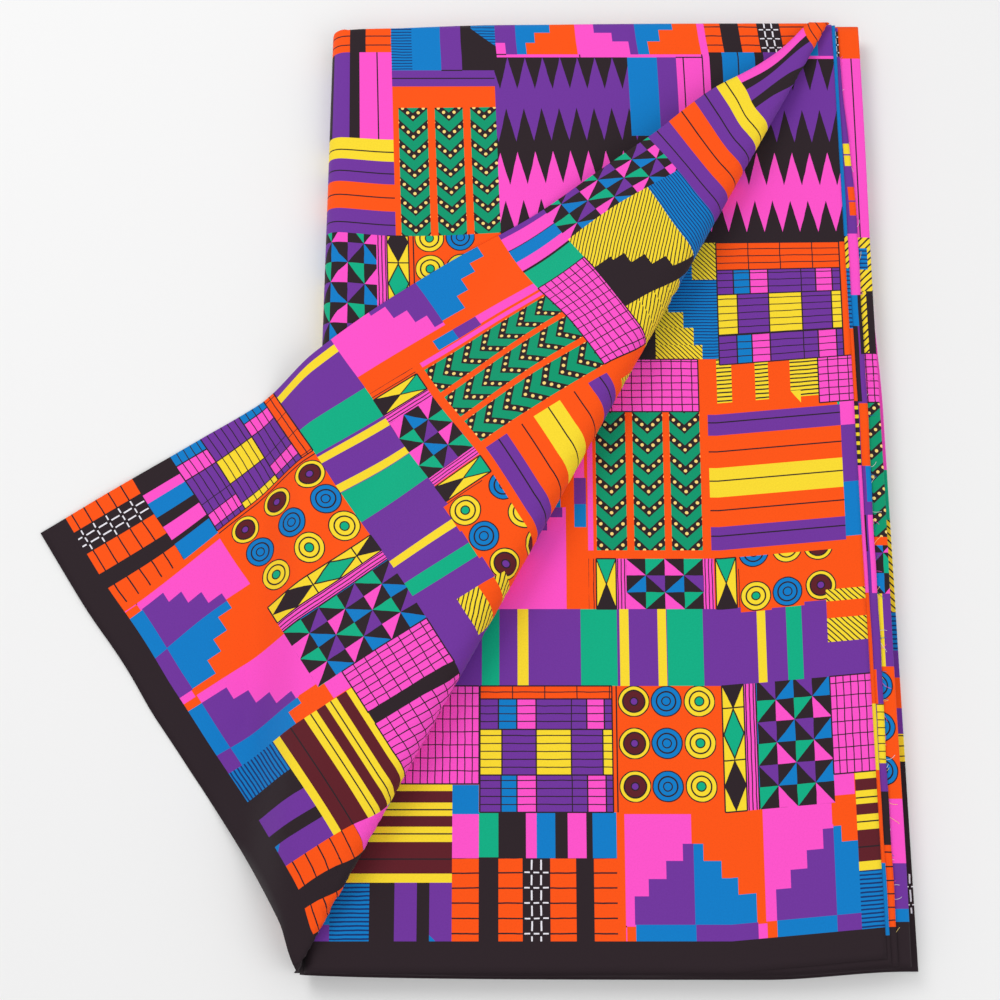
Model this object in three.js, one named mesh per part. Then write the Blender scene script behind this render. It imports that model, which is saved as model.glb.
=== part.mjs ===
// A length of wax print cotton, folded flat into a pad, with one corner of its top layer turned back.
// Millimetres, +Z up. The origin is the bottom centre of the whole piece, with -Y its front edge.

import * as THREE from 'three';

// Driving dimensions
const wall = 1.5;             // one layer of cloth
const seam = 0.3;             // gap where two layers meet
const restGap = 0.6;          // gap under the turned corner where it lies on the top layer
const padTop = 292.2;         // y of the far fold
const padFront = -289;        // y of the front edge of the top layers
const foldAt = { x: 225.3, y: 288.3 };      // far end of the diagonal turn
const foldTo = { x: -91.0, y: -288.0 };     // near end of the diagonal turn

// Heights of the layers, from the surface up
const hiddenFrom = wall + seam;
const hiddenTo = 11.4;
const lowerFoldFrom = hiddenTo + seam;
const lowerFoldTo = lowerFoldFrom + 2 * wall;
const cutEdgeFrom = lowerFoldTo + seam;
const revealedFrom = cutEdgeFrom + wall + seam;
const topFrom = revealedFrom + wall + seam;
const stackTop = topFrom + wall;

// The left side is one round turn of cloth, from the lowest layer up to the top layer
const turnRadius = (stackTop - wall) / 2;
const turnHeight = stackTop / 2;
const turnOutside = turnRadius + wall / 2;
const turnInside = turnRadius - wall / 2;

// Side edges: x at the front and at the far fold
const leftSide = { front: -91.0, far: -85.2 };
const bottomSide = { front: 255.1, far: 250.2 };
const lowerFoldSide = { front: 248.9, far: 246.9 };
const cutEdgeSide = { front: 239.9, far: 238.1 };
const revealedSide = { front: 234.5, far: 229.2 };

// How far each layer stands out past the front edge, and short of the far fold
const bottomEnds = { front: 3.4, far: 0.4 };
const lowerFoldEnds = { front: 1.2, far: -0.2 };
const cutEdgeEnds = { front: 0.6, far: 1.5 };
const revealedEnds = { front: 0, far: 0.3 };

// The turned corner: how deep it reaches back from the turn, by distance along the turn
const cornerDepths = [
  { along: 0, depth: 0 },
  { along: 58, depth: 34.2 },
  { along: 127, depth: 69.9 },
  { along: 193, depth: 101.6 },
  { along: 271, depth: 142.6 },
  { along: 328, depth: 177.3 },
  { along: 375, depth: 194.8 },
  { along: 417, depth: 210.1 },
  { along: 482, depth: 246.6 },
  { along: 515, depth: 265.7 },
  { along: 546, depth: 205.9 },
  { along: 581, depth: 136.5 },
  { along: 610, depth: 80.5 },
  { along: 625, depth: 53.3 },
  { along: 657, depth: 3 },
];
const cornerTipAlong = 515;

// Radius of the soft roll of the turn, by distance along the turn: pinched at both ends
const rollRadii = [
  { along: 0, radius: 1.2 },
  { along: 60, radius: 1.7 },
  { along: 110, radius: 9 },
  { along: 180, radius: 12 },
  { along: 430, radius: 12.5 },
  { along: 520, radius: 10.5 },
  { along: 585, radius: 6 },
  { along: 630, radius: 2 },
  { along: 657, radius: 1.2 },
];
const flatBehindRoll = 30;    // the turned corner stays this far at the roll's height
const settledBehindRoll = 92; // and lies on the layer below from here on
const dropFrom = 3;           // past the stack's left side it falls, from this far outside
const dropTo = 38;            // to this far outside

// Fineness
const alongTurnToTip = 31;
const alongTurnPastTip = 11;
const aroundRoll = 8;
const acrossCorner = 16;
const aroundSide = 5;
const padRows = 12;

const rad = Math.PI / 180;

// Smooth step from 0 to 1
function ease(value) {
  const s = Math.min(1, Math.max(0, value));
  return s * s * (3 - 2 * s);
}

// Value of a named column at a distance along, eased or straight between its rows
function readTable(rows, column, along, shape) {
  let k = 1;
  while (k < rows.length - 1 && rows[k].along < along) k += 1;
  const before = rows[k - 1];
  const after = rows[k];
  const share = Math.min(1, Math.max(0, (along - before.along) / (after.along - before.along)));
  return before[column] + (after[column] - before[column]) * shape(share);
}

const straight = (share) => share;
const cornerDepth = (along) => readTable(cornerDepths, 'depth', along, straight);
const rollRadius = (along) => readTable(rollRadii, 'radius', along, ease);

// x of a side edge at a given y
function sideX(side, y) {
  const share = (y - padFront) / (padTop - padFront);
  return side.front + (side.far - side.front) * share;
}

// Directions of the diagonal turn: along it, and square to it towards the uncovered half
const turnLength = Math.hypot(foldTo.x - foldAt.x, foldTo.y - foldAt.y);
const alongX = (foldTo.x - foldAt.x) / turnLength;
const alongY = (foldTo.y - foldAt.y) / turnLength;
const acrossX = -alongY;
const acrossY = alongX;

// Plan position of a point given by its distance along the turn and out from it
function planPoint(along, out) {
  return {
    x: foldAt.x + alongX * along + acrossX * out,
    y: foldAt.y + alongY * along + acrossY * out,
  };
}

// Where the top layer starts to curl up into the roll
const footOut = (along) => -(rollRadius(along) + wall / 2);
const footPoint = (along) => planPoint(along, footOut(along));

// Stations along the turn, with one at the tip of the turned corner
function turnStations() {
  const first = 6;
  const last = 654;
  const stations = [];
  for (let k = 0; k <= alongTurnToTip; k += 1) {
    stations.push(first + (cornerTipAlong - first) * k / alongTurnToTip);
  }
  for (let k = 1; k <= alongTurnPastTip; k += 1) {
    stations.push(cornerTipAlong + (last - cornerTipAlong) * k / alongTurnPastTip);
  }
  return stations;
}

// Height of a layer's middle that lies on the stack and falls past its left side to the surface
function restingHeight(x, y, onStack) {
  const edge = sideX(leftSide, y);
  const fallen = ease((edge - dropFrom - x) / (dropTo - dropFrom));
  return onStack + (wall / 2 - onStack) * fallen;
}

// A wall of cloth: the middle surface as rows of points, thickened evenly to both sides and closed
function clothWall(name, color, rows, thickness = wall) {
  const rowCount = rows.length;
  const columnCount = rows[0].length;
  const positions = [];
  const acrossStep = new THREE.Vector3();
  const alongStep = new THREE.Vector3();
  const normal = new THREE.Vector3();
  for (const side of [1, -1]) {
    for (let i = 0; i < rowCount; i += 1) {
      for (let j = 0; j < columnCount; j += 1) {
        acrossStep.subVectors(rows[i][Math.min(j + 1, columnCount - 1)], rows[i][Math.max(j - 1, 0)]);
        alongStep.subVectors(rows[Math.min(i + 1, rowCount - 1)][j], rows[Math.max(i - 1, 0)][j]);
        normal.crossVectors(acrossStep, alongStep).normalize().multiplyScalar(side * thickness / 2);
        normal.add(rows[i][j]);
        positions.push(normal.x, normal.y, normal.z);
      }
    }
  }
  const under = rowCount * columnCount;
  const at = (i, j) => i * columnCount + j;
  const triangles = [];
  const quad = (p, q, r, s) => triangles.push(p, q, r, p, r, s);
  for (let i = 0; i < rowCount - 1; i += 1) {
    for (let j = 0; j < columnCount - 1; j += 1) {
      quad(at(i, j), at(i, j + 1), at(i + 1, j + 1), at(i + 1, j));
      quad(under + at(i, j), under + at(i + 1, j), under + at(i + 1, j + 1), under + at(i, j + 1));
    }
    const lastColumn = columnCount - 1;
    quad(at(i, 0), at(i + 1, 0), under + at(i + 1, 0), under + at(i, 0));
    quad(at(i + 1, lastColumn), at(i, lastColumn), under + at(i, lastColumn), under + at(i + 1, lastColumn));
  }
  const lastRow = rowCount - 1;
  for (let j = 0; j < columnCount - 1; j += 1) {
    quad(at(0, j + 1), at(0, j), under + at(0, j), under + at(0, j + 1));
    quad(at(lastRow, j), at(lastRow, j + 1), under + at(lastRow, j + 1), under + at(lastRow, j));
  }
  return closedMesh(name, color, positions, triangles);
}

// A named mesh from its points and triangles, turned so that its faces point out
function closedMesh(name, color, positions, triangles) {
  const a = new THREE.Vector3();
  const b = new THREE.Vector3();
  const c = new THREE.Vector3();
  let volume = 0;
  for (let k = 0; k < triangles.length; k += 3) {
    a.fromArray(positions, 3 * triangles[k]);
    b.fromArray(positions, 3 * triangles[k + 1]);
    c.fromArray(positions, 3 * triangles[k + 2]);
    volume += a.dot(b.cross(c));
  }
  if (volume < 0) triangles.reverse();
  const geometry = new THREE.BufferGeometry();
  geometry.setAttribute('position', new THREE.Float32BufferAttribute(positions, 3));
  geometry.setIndex(triangles);
  geometry.computeVertexNormals();
  const material = new THREE.MeshStandardMaterial({ color, roughness: 0.8, metalness: 0 });
  const mesh = new THREE.Mesh(geometry, material);
  mesh.name = name;
  return mesh;
}

// A flat layer of the stack between two side edges
function flatLayer(name, color, height, thickness, leftX, side, ends) {
  const rows = [];
  for (let i = 0; i <= padRows; i += 1) {
    const front = padFront - ends.front;
    const y = front + (padTop - ends.far - front) * i / padRows;
    const left = leftX(y);
    const right = sideX(side, y);
    const row = [];
    for (let j = 0; j <= 4; j += 1) row.push(new THREE.Vector3(left + (right - left) * j / 4, y, height));
    rows.push(row);
  }
  return clothWall(name, color, rows, thickness);
}

// x where a layer inside the round turn may start, at a given height
function insideTurn(y, low, high) {
  const reach = turnInside - 2 * seam;
  const away = Math.max(Math.abs(low - turnHeight), Math.abs(high - turnHeight));
  return sideX(leftSide, y) + turnOutside - Math.sqrt(Math.max(0, reach * reach - away * away));
}

// The lowest layer: flat on the surface, with the lower half of the round turn at its left side
function bottomLayer() {
  const rows = [];
  const seamAngle = seam / turnRadius;
  for (let i = 0; i <= padRows; i += 1) {
    const front = padFront - bottomEnds.front;
    const y = front + (padTop - bottomEnds.far - front) * i / padRows;
    const turnX = sideX(leftSide, y) + turnOutside;
    const row = [];
    for (let k = 0; k <= aroundSide; k += 1) {
      const angle = Math.PI + seamAngle + (90 * rad - seamAngle) * k / aroundSide;
      row.push(new THREE.Vector3(
        turnX + turnRadius * Math.cos(angle), y, turnHeight + turnRadius * Math.sin(angle)));
    }
    for (let k = 1; k <= 4; k += 1) {
      row.push(new THREE.Vector3(turnX + (sideX(bottomSide, y) - turnX) * k / 4, y, wall / 2));
    }
    rows.push(row);
  }
  return clothWall('bottom_layer', 0x8a3f9a, rows);
}

// The top layer that still lies on the stack: from the round turn to where it curls up at the diagonal
function topLayer() {
  const rows = [];
  const seamAngle = seam / turnRadius;
  const turnArc = turnRadius * (90 * rad - seamAngle);
  const steps = aroundSide + 4;
  const addRow = (y, right) => {
    const turnX = sideX(leftSide, y) + turnOutside;
    const overTurn = Math.min(1, Math.max(-1, (right - turnX) / turnRadius));
    const curved = right < turnX ? turnRadius * (Math.acos(-overTurn) - seamAngle) : turnArc;
    const length = right < turnX ? curved : turnArc + right - turnX;
    const row = [];
    for (let j = 0; j <= steps; j += 1) {
      const onCurve = Math.min(turnArc * j / aroundSide, length * j / steps);
      const curveEnd = Math.min(turnArc, length * aroundSide / steps);
      const beyond = (j - aroundSide) / (steps - aroundSide);
      const travelled = j <= aroundSide ? onCurve : curveEnd + (length - curveEnd) * beyond;
      if (travelled < turnArc) {
        const angle = Math.PI - seamAngle - travelled / turnRadius;
        row.push(new THREE.Vector3(
          turnX + turnRadius * Math.cos(angle), y, turnHeight + turnRadius * Math.sin(angle)));
      } else {
        row.push(new THREE.Vector3(turnX + travelled - turnArc, y, topFrom + wall / 2));
      }
    }
    rows.push(row);
  };
  const edgeGap = 2 * seam / acrossX;
  addRow(padTop, foldAt.x + wall);
  for (const along of turnStations()) {
    const foot = footPoint(along);
    const right = foot.x - edgeGap;
    if (right > sideX(leftSide, foot.y) + wall + seam) addRow(foot.y, right);
  }
  return clothWall('top_layer', 0xff4fb8, rows);
}

// The turned corner: up and over the roll, back across the top layer, and down past the left side
function turnedCorner() {
  const onStack = stackTop + restGap + wall / 2;
  const rows = [];
  for (const along of turnStations()) {
    const radius = rollRadius(along);
    const foot = footPoint(along);
    const footHeight = restingHeight(foot.x, foot.y, topFrom + wall / 2);
    const raised = topFrom + wall / 2 + 2 * radius - onStack;
    const back = Math.max(cornerDepth(along) + footOut(along), 1);
    const settled = Math.max(60, Math.min(settledBehindRoll, 1.25 * back));
    const row = [];
    for (let k = 0; k < aroundRoll; k += 1) {
      const angle = Math.PI * k / aroundRoll;
      const plan = planPoint(along, footOut(along) + radius * Math.sin(angle));
      row.push(new THREE.Vector3(plan.x, plan.y, footHeight + radius * (1 - Math.cos(angle))));
    }
    for (let k = 0; k <= acrossCorner; k += 1) {
      const behind = back * k / acrossCorner;
      const plan = planPoint(along, footOut(along) - behind);
      const lowered = ease((behind - flatBehindRoll) / (settled - flatBehindRoll));
      const height = restingHeight(plan.x, plan.y, onStack) + raised * (1 - lowered);
      row.push(new THREE.Vector3(plan.x, plan.y, height));
    }
    rows.push(row);
  }
  return clothWall('turned_corner', 0x8e44c9, rows);
}

// The hidden layers: one solid, with a rounded bead at its edges for each folded layer
const beads = [
  { right: 243, far: 290.0, front: -289.5 },
  { right: 239, far: 291.6, front: -291.6 },
  { right: 245, far: 289.2, front: -287.6 },
];
const beadShape = [
  { share: 0, inset: 1.5 },
  { share: 0.18, inset: 0.5 },
  { share: 0.5, inset: 0 },
  { share: 0.82, inset: 0.5 },
  { share: 1, inset: 1.5 },
];
const cornerRound = 7;
const sideSteps = 9;

// One ring of the hidden layers: a round-cornered outline, slightly wavy along its sides
function hiddenRing(height, bead, inset, phase) {
  const points = [];
  const corners = [
    { x: bead.right, y: bead.far, from: 0 },
    { x: null, y: bead.far, from: 90 },
    { x: null, y: bead.front, from: 180 },
    { x: bead.right, y: bead.front, from: 270 },
  ];
  const place = (corner, angle) => {
    const limit = insideTurn(corner.y, height, height) + 0.8;
    const cornerX = corner.x === null ? limit : corner.x - inset;
    const inwardX = corner.x === null ? cornerRound : -cornerRound;
    const inwardY = corner.y > 0 ? -cornerRound : cornerRound;
    const insetY = corner.y > 0 ? -inset : inset;
    return {
      x: cornerX + inwardX + cornerRound * Math.cos(angle),
      y: corner.y + insetY + inwardY + cornerRound * Math.sin(angle),
    };
  };
  corners.forEach((corner, k) => {
    for (const step of [0, 30, 60, 90]) points.push(place(corner, (corner.from + step) * rad));
    const start = place(corner, (corner.from + 90) * rad);
    const next = corners[(k + 1) % 4];
    const end = place(next, next.from * rad);
    for (let s = 1; s < sideSteps; s += 1) {
      const share = s / sideSteps;
      const wave = 0.5 * Math.sin(Math.PI * share) * Math.sin(phase + 7 * share + 2 * k);
      const outX = k === 3 ? wave : 0;
      const outY = k % 2 === 0 ? wave : 0;
      points.push({
        x: start.x + (end.x - start.x) * share + outX,
        y: start.y + (end.y - start.y) * share + outY,
      });
    }
  });
  return points.map((point) => new THREE.Vector3(point.x, point.y, height));
}

function hiddenLayers() {
  const rings = [];
  const beadHeight = (hiddenTo - hiddenFrom) / beads.length;
  beads.forEach((bead, b) => {
    beadShape.forEach((row, k) => {
      if (b > 0 && k === 0) return;
      const height = hiddenFrom + beadHeight * (b + row.share);
      rings.push(hiddenRing(height, bead, row.inset, 1.7 * b));
    });
  });
  const count = rings[0].length;
  const positions = [];
  for (const ring of rings) for (const point of ring) positions.push(point.x, point.y, point.z);
  const triangles = [];
  for (let r = 0; r < rings.length - 1; r += 1) {
    for (let k = 0; k < count; k += 1) {
      const low = r * count + k;
      const lowNext = r * count + (k + 1) % count;
      triangles.push(low, lowNext, lowNext + count, low, lowNext + count, low + count);
    }
  }
  const centreX = 80;
  const below = positions.length / 3;
  const above = below + 1;
  positions.push(centreX, 0, hiddenFrom, centreX, 0, hiddenTo);
  const top = (rings.length - 1) * count;
  for (let k = 0; k < count; k += 1) {
    const next = (k + 1) % count;
    triangles.push(below, next, k, above, top + k, top + next);
  }
  return closedMesh('hidden_layers', 0x3a2a36, positions, triangles);
}

// Left ends of the flat layers, inside the round turn
const lowerFoldLeft = (y) => insideTurn(y, lowerFoldFrom, lowerFoldTo);
const cutEdgeLeft = (y) => insideTurn(y, cutEdgeFrom, cutEdgeFrom + wall);
const revealedLeft = (y) => insideTurn(y, revealedFrom, revealedFrom + wall);

const group = new THREE.Group();
group.add(bottomLayer());
group.add(hiddenLayers());
group.add(flatLayer('lower_fold', 0xd83fb0, lowerFoldFrom + wall, 2 * wall, lowerFoldLeft,
  lowerFoldSide, lowerFoldEnds));
group.add(flatLayer('cut_edge_layer', 0x2a7fc0, cutEdgeFrom + wall / 2, wall, cutEdgeLeft,
  cutEdgeSide, cutEdgeEnds));
group.add(flatLayer('revealed_layer', 0xff5a1e, revealedFrom + wall / 2, wall, revealedLeft,
  revealedSide, revealedEnds));
group.add(topLayer());
group.add(turnedCorner());

export default group;
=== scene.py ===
import math
from functools import partial, reduce

import bpy
import numpy as np
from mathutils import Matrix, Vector


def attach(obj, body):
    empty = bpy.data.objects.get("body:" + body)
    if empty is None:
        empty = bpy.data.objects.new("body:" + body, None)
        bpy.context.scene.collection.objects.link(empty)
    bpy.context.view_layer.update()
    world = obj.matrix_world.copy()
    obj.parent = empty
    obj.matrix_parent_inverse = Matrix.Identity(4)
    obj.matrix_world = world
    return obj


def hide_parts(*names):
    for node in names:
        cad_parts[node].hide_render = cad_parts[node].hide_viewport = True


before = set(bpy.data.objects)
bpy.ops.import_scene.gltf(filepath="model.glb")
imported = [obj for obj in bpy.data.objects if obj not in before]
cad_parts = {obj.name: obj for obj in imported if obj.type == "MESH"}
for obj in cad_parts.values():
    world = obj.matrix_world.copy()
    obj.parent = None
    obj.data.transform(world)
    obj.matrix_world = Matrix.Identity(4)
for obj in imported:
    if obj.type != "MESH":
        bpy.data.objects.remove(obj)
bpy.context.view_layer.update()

# Sizes are in millimetres until a mesh is made, and then in metres.
# The flat print has its own ruler: P runs across the cloth and repeats, y runs up from the printed front edge.
printRepeat = 296.0
clothThickness = 0.5
halfCloth = clothThickness / 2
clothLength = 581
pad = {
    "foldFar": (225.3, 288.3),     # far end of the diagonal turn
    "foldNear": (-91.0, -288.0),   # near end of the diagonal turn
    "front": -289.0,
    "far": 292.2,
    "top": 20.1,
    "left": (-91.0, -85.2),
}


def ease(value):
    # smooth step: 3 s^2 - 2 s^3 of the value held between 0 and 1
    held = np.clip(value, 0.0, 1.0)
    return held * held * (3.0 - 2.0 * held)


def sideX(ends, y):
    # straight between the x at the front and the x at the far fold
    front, far = ends
    return front + (far - front) * (y - pad["front"]) / (pad["far"] - pad["front"])


# The print, charted in millimetres. A row lies over the rows before it.
inks = {
    "black": (0.165, 0.118, 0.141),
    "purple": (0.440, 0.200, 0.620),
    "pink": (1.000, 0.320, 0.800),
    "orange": (1.000, 0.330, 0.030),
    "yellow": (0.985, 0.865, 0.180),
    "green": (0.000, 0.690, 0.520),
    "leaf": (0.000, 0.600, 0.430),
    "blue": (0.000, 0.490, 0.790),
    "navy": (0.050, 0.200, 0.440),
    "maroon": (0.370, 0.100, 0.140),
    "cream": (1.000, 0.870, 0.500),
    "white": (0.940, 0.930, 0.960),
}
motifs = ["plain", "joined", "lines", "grid", "teeth", "arrows", "rings", "diamond", "hourglass", "pinwheel",
          "dashes", "halves"]


def readChart(rows):
    # the words of a row name its motif (plain where none is named), its inks and the motif's sizes
    # each span after them gives its low and high side, then the left and right side of each cell
    chart = []
    for look, *spans in rows:
        words = look.split()
        motif = words.pop(0) if words[0] in motifs else "plain"
        names = [word for word in words if word in inks]
        sizes = [float(word) for word in words[len(names):]]
        boxes = [(left, right, low, high) for low, high, *sides in spans
                 for left, right in zip(sides[::2], sides[1::2])]
        chart.append((motif, names, sizes, boxes))
    return chart


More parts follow.
